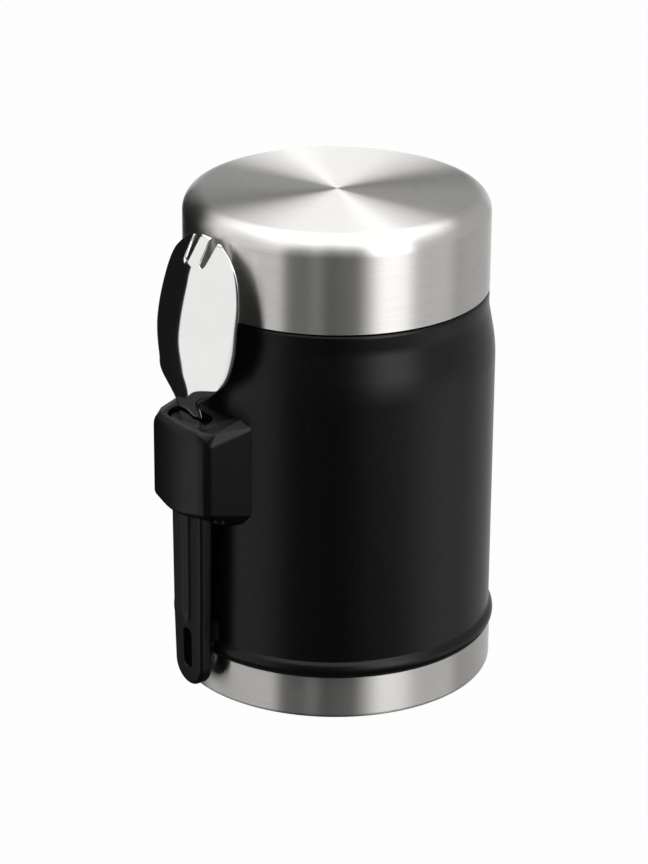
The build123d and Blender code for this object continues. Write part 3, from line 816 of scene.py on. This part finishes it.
def make_spork_handle(moulding):
    """A blade with a round end, a hang slot and a groove, and a block at its upper end."""
    bm = bmesh.new()
    # the blade is drawn flat and then given its thickness
    bmesh.ops.create_circle(bm, cap_ends=False, segments=64, radius=HANDLE_HALF * MM)
    upper = [vert for vert in bm.verts if vert.co.y > WELD]
    bmesh.ops.delete(bm, geom=upper, context="VERTS")
    for vert in bm.verts:
        height = vert.co.y + (HANDLE_LOW + HANDLE_HALF) * MM
        vert.co = Vector((vert.co.x, -BACK_REACH * MM, height))
    ends = sorted((v for v in bm.verts if len(v.link_edges) == 1), key=lambda vert: vert.co.x)
    tops = [bm.verts.new((end.co.x, end.co.y, HANDLE_TOP * MM)) for end in ends]
    bm.edges.new((ends[0], tops[0]))
    bm.edges.new((ends[1], tops[1]))
    bm.edges.new(tops)
    bmesh.ops.contextual_create(bm, geom=bm.edges[:])
    made = bmesh.ops.extrude_face_region(bm, geom=bm.faces[:])
    moved = [item for item in made["geom"] if isinstance(item, bmesh.types.BMVert)]
    bmesh.ops.translate(bm, verts=moved, vec=(0, -(FACE_REACH - BACK_REACH) * MM, 0))
    bmesh.ops.recalc_face_normals(bm, faces=bm.faces)
    rims = [
        edge for edge in bm.edges
        if abs(edge.verts[0].co.y - edge.verts[1].co.y) < WELD
        and min(v.co.z for v in edge.verts) < (HANDLE_TOP - HAIR) * MM
    ]
    bevel_edges(bm, rims, HANDLE_ROUNDING, segments=6)

    # hang slot, right through
    half_slot = HANG_SLOT_WIDTH / 2
    cutter = bmesh.new()
    rounded_block(
        cutter, (HANG_SLOT_WIDTH, CUTTER_DEPTH, HANG_SLOT_LENGTH), (0, -SPORK_REACH),
        HANG_SLOT_LOW, corner=0,
    )
    sides = [
        edge for edge in cutter.edges
        if abs(edge.verts[0].co.y - edge.verts[1].co.y) > CUTTER_DEPTH / 2 * MM
    ]
    bevel_edges(cutter, sides, half_slot - HAIR / 10, segments=12)
    blade = carved(bm, cutter)
    slot_rim = [
        edge for edge in blade.edges
        if abs(edge.verts[0].co.y - edge.verts[1].co.y) < WELD
        and abs(edge.verts[0].co.y + FACE_REACH * MM) < WELD
        and all(
            abs(v.co.x) < (half_slot + HAIR) * MM and v.co.z < GROOVE_LOW * MM
            for v in edge.verts
        )
    ]
    bevel_edges(blade, slot_rim, HANG_SLOT_ROUNDING, segments=3)

    # the groove: a soft valley down the middle of the face
    for step in range(-GROOVE_CUTS, GROOVE_CUTS + 1):
        bisect(blade, (step * GROOVE_HALF / GROOVE_CUTS, 0, 0), (1, 0, 0))
    for step in range(GROOVE_FADE + 1):
        bisect(blade, (0, 0, GROOVE_LOW + step), (0, 0, 1))
    for vert in blade.verts:
        across, height = abs(vert.co.x) / MM, vert.co.z / MM
        on_face = vert.co.y < -(FACE_REACH - HAIR) * MM
        if on_face and across < GROOVE_HALF and height > GROOVE_LOW:
            fade = min((height - GROOVE_LOW) / GROOVE_FADE, 1)
            vert.co.y += GROOVE_DEPTH * MM * fade * (1 + cos(pi * across / GROOVE_HALF)) / 2

    # the blade widens upwards, its lower end lies nearer the jar, and its back swells
    for vert in blade.verts:
        height = vert.co.z / MM
        vert.co.x *= handle_half_at(height) / HANDLE_HALF
        vert.co.y += handle_lean_at(height) * MM
        if vert.co.y > -(BACK_REACH + BACK_SWELL_DEPTH) * MM:
            climb = (height - BACK_SWELL_LOW) / BACK_SWELL_LENGTH
            vert.co.y += BACK_SWELL * min(max(climb, 0), 1) * MM
    bmesh.ops.dissolve_degenerate(blade, dist=SPECK * MM, edges=blade.edges)
    rounded_block(
        blade, BLOCK_SIZE, (0, -SPORK_REACH), BLOCK_LOW, corner=BLOCK_CORNER, rim=BLOCK_RIM
    )
    make_piece(blade, "spork_grip", moulding, "spork", "spork_handle")


# ---- Holder ------------------------------------------------------------------------------
# The holder's block is the skin stretched over balls at its corners. Each is a place
# across, a reach, a height and a radius, and has its mirror image on the other side.
HOLDER_BALLS = [
    # against the wall: top ridge, upper edge, lower edge, underside
    (12.0, 40.0, 87.9, 2.4),
    (16.8, 40.0, 87.3, 0.4),
    (16.2, 40.0, 60.2, 1.0),
    (12.6, 40.0, 57.2, 2.0),
    (5.0, 40.0, 54.4, 3.0),
    # outer end: end of the upper edge, upper corner, lower corner, underside
    (12.5, 52.6, 86.1, 0.5),
    (9.3, 52.6, 82.6, 4.4),
    (12.3, 51.9, 62.7, 1.3),
    (11.9, 53.9, 62.6, 1.3),
    (10.9, 55.2, 62.5, 1.3),
    (9.8, 55.7, 62.4, 1.3),
    (11.2, 49.0, 61.6, 2.0),
]
# the outer face is a wide arc between two rounded edges, the brow above and the chin below
HOLDER_OUTER_RADIUS = 57.8
BROW_ROUNDING, BROW_HEIGHT = 3.0, 84.2
CHIN_ROUNDING, CHIN_HEIGHT, CHIN_RISE = 1.6, 60.9, 1.6
ARC_BALLS, ARC_STEP = 5, 2.1
HOLDER_LOW, HOLDER_HIGH = 50.0, 91.0  # heights that take in the whole holder
WALL_CLEAR = 46.05  # radius of its hollow back, just off the jar's wall
POCKET_SIZE, POCKET_LOW, POCKET_CORNER = (16.2, 7.2, 20.0), 77.45, 3.4  # for the block
WAY_SIZE, WAY_REACH, WAY_CORNER = (15.3, 5.5, 40.0), 51.65, 1.3  # for the handle
# screws: place across and reach, then the well for the head and its upper end
SCREW_ACROSS, SCREW_REACH = 10.3, 49.8
WELL_RADIUS, WELL_DEPTH = 2.3, 12
BRACKET_LOW, BRACKET_HIGH = 61.5, 82.0


def bisect(bm, place, direction):
    """Cuts new edges along a plane."""
    bmesh.ops.bisect_plane(
        bm, geom=bm.verts[:] + bm.edges[:] + bm.faces[:], plane_co=Vector(place) * MM,
        plane_no=direction,
    )


def make_holder(moulding):
    """The skin over the balls, hollowed for the jar's wall, the spork and the screws."""
    balls = list(HOLDER_BALLS)
    arc_half = (ARC_BALLS - 1) * ARC_STEP
    for step in range(ARC_BALLS):
        across = step * ARC_STEP
        nearness = cos(asin(across / HOLDER_OUTER_RADIUS))
        brow_reach = (HOLDER_OUTER_RADIUS - BROW_ROUNDING) * nearness
        chin_reach = (HOLDER_OUTER_RADIUS - CHIN_ROUNDING) * nearness
        chin_height = CHIN_HEIGHT + CHIN_RISE * (across / arc_half) ** 2
        balls.append((across, brow_reach, BROW_HEIGHT, BROW_ROUNDING))
        balls.append((across, chin_reach, chin_height, CHIN_ROUNDING))
    block = bmesh.new()
    for across, reach, height, radius in balls:
        for side in (-1, 1):
            bmesh.ops.create_uvsphere(
                block, u_segments=32, v_segments=16, radius=radius * MM,
                matrix=Matrix.Translation(Vector((side * across, -reach, height)) * MM),
            )
    bmesh.ops.remove_doubles(block, verts=block.verts, dist=WELD)
    hull = bmesh.ops.convex_hull(block, input=block.verts)
    spare = set(hull["geom_interior"] + hull["geom_unused"])
    spare_verts = [item for item in spare if isinstance(item, bmesh.types.BMVert)]
    bmesh.ops.delete(block, geom=spare_verts, context="VERTS")
    inside = [face for face in block.faces if face not in set(hull["geom"])]
    bmesh.ops.delete(block, geom=inside, context="FACES_ONLY")
    bmesh.ops.recalc_face_normals(block, faces=block.faces)

    jar = turned([
        (0, HOLDER_LOW, 0), (WALL_CLEAR, HOLDER_LOW, 0), (WALL_CLEAR, HOLDER_HIGH, 0),
        (0, HOLDER_HIGH, 0),
    ])
    body = carved(block, jar)
    pocket, way = bmesh.new(), bmesh.new()
    rounded_block(pocket, POCKET_SIZE, (0, -SPORK_REACH), POCKET_LOW, corner=POCKET_CORNER)
    rounded_block(way, WAY_SIZE, (0, -WAY_REACH), HOLDER_LOW - 2, corner=WAY_CORNER)
    for cutter in (pocket, way):
        body = carved(body, cutter)
    for side in (-1, 1):
        well = bmesh.new()
        place = Vector((side * SCREW_ACROSS, -SCREW_REACH, BRACKET_LOW - WELL_DEPTH / 2))
        add_rod(well, WELL_RADIUS, WELL_DEPTH, place)
        body = carved(body, well)
    make_piece(
        body, "holder_shell", moulding, "jar", "spork_holder", sharp=30
    )


def add_rod(bm, radius, length, middle):
    """Adds an upright round rod with flat ends."""
    bmesh.ops.create_cone(
        bm, cap_ends=True, segments=48, radius1=radius * MM, radius2=radius * MM,
        depth=length * MM, matrix=Matrix.Translation(middle * MM),
    )


# ---- Bracket and screws --------------------------------------------------------------------
BRACKET_INNER, BRACKET_OUTER = 46.1, 46.85
BRACKET_HALF = 14.0  # half its width
EAR_SIZE, EAR_REACH, EAR_CORNER = (4.2, 6.6, 0.8), 49.3, 1.4
SCREW_HEAD_RADIUS, SCREW_HEAD, SCREW_HEAD_ROUNDING = 2.0, 1.3, 0.3
SCREW_RADIUS, SCREW_LENGTH = 1.2, 9.6
DRIVER_SLOT, DRIVER_SLOT_DROP, DRIVER_SLOT_CORNER = (5.0, 0.6, 1.0), 1.8, 0.1


def make_bracket(zinc):
    """The curved plate on the jar's wall with its two ears, and the screws through them."""
    half = asin(BRACKET_HALF / BRACKET_INNER)
    turn = Matrix.Rotation(-pi / 2 - half, 3, "Z")
    bm = bmesh.new()
    profile = [
        (BRACKET_INNER, BRACKET_LOW), (BRACKET_OUTER, BRACKET_LOW),
        (BRACKET_OUTER, BRACKET_HIGH), (BRACKET_INNER, BRACKET_HIGH),
    ]
    verts = [bm.verts.new(turn @ Vector((r, 0, z)) * MM) for r, z in profile]
    face = bm.faces.new(verts)
    bmesh.ops.spin(
        bm, geom=verts + list(face.edges) + [face], axis=(0, 0, 1), cent=(0, 0, 0),
        angle=2 * half, steps=16,
    )
    for side in (-1, 1):
        rounded_block(
            bm, EAR_SIZE, (side * SCREW_ACROSS, -EAR_REACH), BRACKET_LOW, corner=EAR_CORNER
        )
    bmesh.ops.recalc_face_normals(bm, faces=bm.faces)
    make_piece(bm, "bracket_plate", zinc, "jar", "holder_bracket")

    bm = bmesh.new()
    for side in (-1, 1):
        for radius, length, middle in (
            (SCREW_HEAD_RADIUS, SCREW_HEAD, BRACKET_LOW - SCREW_HEAD / 2),
            (SCREW_RADIUS, SCREW_LENGTH, BRACKET_LOW + SCREW_LENGTH / 2),
        ):
            add_rod(bm, radius, length, Vector((side * SCREW_ACROSS, -SCREW_REACH, middle)))
    rims = [
        edge for edge in bm.edges
        if all(abs(vert.co.z - (BRACKET_LOW - SCREW_HEAD) * MM) < WELD for vert in edge.verts)
    ]
    bevel_edges(bm, rims, SCREW_HEAD_ROUNDING, segments=3)
    for side in (-1, 1):
        cutter = bmesh.new()
        rounded_block(
            cutter, DRIVER_SLOT, (side * SCREW_ACROSS, -SCREW_REACH),
            BRACKET_LOW - DRIVER_SLOT_DROP, corner=DRIVER_SLOT_CORNER,
        )
        bm = carved(bm, cutter)
    make_piece(bm, "bracket_screws", zinc, "jar", "holder_screws")


# ---- Lights, background and floor ----------------------------------------------------------
# Lengths here are in metres. Azimuths are in degrees round the jar, from the camera's side.
WORLD_ON_SURFACES = 0.6  # the world's level as light, where nothing sees it
WORLD_SEEN = 1.0
FLOOR_SIZE = 6
FLOOR_GREY = 0.8, 0.8, 0.8, 1
FLOOR_GLOW = 0.975  # share of the floor that is plain white to the camera


def add_backdrop(bm, name, material):
    """Puts a sheet of the studio in place. It isn't part of the object."""
    mesh = bpy.data.meshes.new(name)
    bm.to_mesh(mesh)
    bm.free()
    mesh.materials.append(material)
    sheet = bpy.data.objects.new(name, mesh)
    bpy.context.scene.collection.objects.link(sheet)
    return sheet


def glowing_sheet(bm, name, level, fading=None):
    """A glowing sheet, seen only in reflections. fading makes its fade in its node tree."""
    material = bpy.data.materials.new(name)
    material.use_nodes = True
    tree = material.node_tree
    tree.nodes.clear()
    glow = add_node(tree, "ShaderNodeEmission", {"Color": WHITE, "Strength": level})
    if fading:
        clear = add_node(tree, "ShaderNodeBsdfTransparent")
        glow = add_node(
            tree, "ShaderNodeMixShader", {0: fading(tree), 1: clear.outputs[0], 2: glow.outputs[0]}
        )
    add_node(tree, "ShaderNodeOutputMaterial", {"Surface": glow.outputs[0]})
    sheet = add_backdrop(bm, name, material)
    sheet.visible_camera = False
    sheet.visible_shadow = False
    sheet.visible_diffuse = False
    return sheet


def soft_edge(tree, value, clear, full):
    """0 at one value, rising smoothly to 1 at another."""
    return add_node(
        tree, "ShaderNodeMapRange", {"Value": value, "From Min": clear, "From Max": full},
        interpolation_type="SMOOTHSTEP",
    ).outputs[0]


def hang_panel(name, start, stop, level, soft, low=-1.6, high=1.6, radius=1.6):
    """A curved panel between two azimuths. soft gives the degrees that fade at each end."""
    half = radians(stop - start) / 2

    def fading(tree):
        # the panel's own coordinates have its middle on +X
        parts = add_node(tree, "ShaderNodeSeparateXYZ", {0: object_place(tree)}).outputs
        angle = math_node(tree, "ARCTAN2", parts["Y"], parts["X"])
        rise = soft_edge(tree, angle, -half, -half + radians(soft[0]))
        fall = soft_edge(tree, angle, half, half - radians(soft[1]))
        return math_node(tree, "MULTIPLY", rise, fall)

    bm = bmesh.new()
    verts = [bm.verts.new((radius * cos(-half), radius * sin(-half), z)) for z in (low, high)]
    edge = bm.edges.new(verts)
    bmesh.ops.spin(
        bm, geom=verts + [edge], axis=(0, 0, 1), cent=(0, 0, 0), angle=2 * half, steps=24
    )
    panel = glowing_sheet(bm, name, level, fading)
    panel.rotation_euler.z = radians(CAMERA_AZIMUTH - 90 + (start + stop) / 2)


def overhead_softbox(level, length, width, height, soft_length, soft_width):
    """A level sheet above the jar. The soft shares of its length and width fade out."""

    def fading(tree):
        parts = add_node(tree, "ShaderNodeSeparateXYZ", {0: object_place(tree)}).outputs
        fades = []
        for axis, size, soft in (("X", length, soft_length), ("Y", width, soft_width)):
            away = math_node(tree, "ABSOLUTE", parts[axis])
            fades.append(soft_edge(tree, away, size / 2, size / 2 * (1 - soft)))
        return math_node(tree, "MULTIPLY", *fades)

    bm = bmesh.new()
    bmesh.ops.create_grid(bm, x_segments=1, y_segments=1, size=0.5)
    bmesh.ops.scale(bm, vec=(length, width, 1), verts=bm.verts)
    bmesh.ops.reverse_faces(bm, faces=bm.faces)
    box = glowing_sheet(bm, "overhead_softbox", level, fading)
    box.rotation_euler.z = radians(CAMERA_AZIMUTH - 90)
    box.location.z = height


def dark_ground(level, height, radius):
    """A dark disc far below, so that what faces down reflects little."""
    bm = bmesh.new()
    bmesh.ops.create_circle(bm, cap_ends=True, segments=64, radius=radius)
    glowing_sheet(bm, "dark_ground", level).location.z = height


def light_world():
    """White to the camera and in reflections, and a softer light on the surfaces."""
    world = bpy.data.worlds.new("studio")
    bpy.context.scene.world = world
    world.use_nodes = True
    tree = world.node_tree
    tree.nodes.clear()
    path = add_node(tree, "ShaderNodeLightPath").outputs
    seen = math_node(
        tree, "MAXIMUM", path["Is Camera Ray"],
        math_node(tree, "MAXIMUM", path["Is Glossy Ray"], path["Is Transmission Ray"]),
    )
    soft, white = (
        add_node(tree, "ShaderNodeBackground", {"Color": WHITE, "Strength": level}).outputs[0]
        for level in (WORLD_ON_SURFACES, WORLD_SEEN)
    )
    mix = add_node(tree, "ShaderNodeMixShader", {0: seen, 1: soft, 2: white})
    add_node(tree, "ShaderNodeOutputWorld", {"Surface": mix.outputs[0]})


def lay_floor():
    """A white floor that keeps a faint shadow."""
    material, tree, shader = new_material("floor", Roughness=0.9, Specular_IOR_Level=0.0)
    shader.inputs["Base Color"].default_value = FLOOR_GREY
    path = add_node(tree, "ShaderNodeLightPath").outputs
    glow = add_node(tree, "ShaderNodeEmission", {"Color": WHITE, "Strength": WORLD_SEEN})
    share = math_node(tree, "MULTIPLY", path["Is Camera Ray"], FLOOR_GLOW)
    mix = add_node(
        tree, "ShaderNodeMixShader", {0: share, 1: shader.outputs[0], 2: glow.outputs[0]}
    )
    tree.links.new(mix.outputs[0], tree.nodes["Material Output"].inputs["Surface"])
    bm = bmesh.new()
    bmesh.ops.create_grid(bm, x_segments=1, y_segments=1, size=FLOOR_SIZE)
    add_backdrop(bm, "floor", material).visible_glossy = False


def light_studio():
    """Bright panels give the steel its streaks, and dark flags the shades between them."""
    light_world()
    lay_floor()
    dark_ground(level=0.04, height=-0.96, radius=1.6)
    hang_panel("black_flag", 194, 260, level=0.01, soft=(6, 2), high=0.34)
    hang_panel("left_flag", 186, 248, level=0.01, soft=(10, 8), low=0.34, high=1.1)
    hang_panel("back_scrim", 150, 212, level=0.42, soft=(6, 10), low=0.34, high=2.2)
    hang_panel("left_hood", 264, 318, level=0.12, soft=(2, 6), low=1.25, high=2.6)
    hang_panel("front_flag", -43, 25, level=0.04, soft=(8, 10), high=2.4)
    hang_panel("fill_strip", -21, -9, level=0.18, soft=(4, 3), radius=1.55)
    hang_panel("line_flag", -8, 1, level=0.0, soft=(3, 3), low=-1.0, high=1.42, radius=1.0)
    hang_panel("key_softbox", 20, 62, level=4.2, soft=(15, 14), low=-0.1, radius=1.5)
    hang_panel("key_skirt", 14, 60, level=0.3, soft=(10, 10), high=-0.08)
    hang_panel("right_scrim", 50, 156, level=0.6, soft=(4, 6))
    hang_panel("side_skirt", 56, 100, level=1.2, soft=(6, 8), high=-0.22, radius=1.55)
    overhead_softbox(
        level=3.0, length=3.0, width=3.7, height=1.5, soft_length=0.3, soft_width=0.6
    )


# ---- Putting it together -----------------------------------------------------------------
place_camera()
light_studio()
bpy.context.scene.view_settings.view_transform = "Standard"

black = moulded_black()
lid_moulding = plain_finish(
    "lid_moulding", dark=(0.025, 0.025, 0.026), light=(0.035, 0.035, 0.036), roughness=0.45
)
make_body(
    powder_coat(),
    plain_finish(
        "vessel_steel", dark=(0.55, 0.54, 0.53), light=(0.62, 0.61, 0.6), roughness=0.3,
        metallic=1.0,
    ),
    brushed_steel("band_steel", dark=(0.54, 0.53, 0.51), light=(0.62, 0.61, 0.59), roughness=0.33),
    plain_finish("pad_rubber", dark=(0.02, 0.02, 0.02), light=(0.03, 0.03, 0.03), roughness=0.75),
)
make_lid(
    brushed_steel("lid_steel", dark=(0.56, 0.55, 0.53), light=(0.64, 0.63, 0.61), roughness=0.34),
    lid_moulding,
    plain_finish("silicone", dark=(0.42, 0.42, 0.41), light=(0.48, 0.48, 0.47), roughness=0.55),
)
make_spork_head(polished_steel())
make_spork_handle(black)
make_holder(black)
make_bracket(plain_finish(
    "blacked_zinc", dark=(0.02, 0.02, 0.021), light=(0.03, 0.03, 0.031), roughness=0.45,
    metallic=1.0,
))

hidden_finishes = {
    "radiation_foil": plain_finish(
        "foil", dark=(0.75, 0.75, 0.76), light=(0.85, 0.85, 0.86), roughness=0.25, metallic=1.0
    ),
    "getter": plain_finish(
        "getter_alloy", dark=(0.2, 0.19, 0.18), light=(0.3, 0.29, 0.28), roughness=0.6,
        metallic=1.0,
    ),
    "getter_clip": plain_finish(
        "zinc_steel", dark=(0.5, 0.5, 0.5), light=(0.62, 0.62, 0.63), roughness=0.4, metallic=1.0
    ),
    "evacuation_seal": plain_finish(
        "sealing_glass", dark=(0.1, 0.12, 0.11), light=(0.14, 0.17, 0.15), roughness=0.2
    ),
    "lid_foam": plain_finish(
        "foam", dark=(0.8, 0.76, 0.62), light=(0.88, 0.84, 0.7), roughness=0.9, per_mm=1.5
    ),
}
for node, material in hidden_finishes.items():
    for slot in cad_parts[node].material_slots:
        slot.material = material
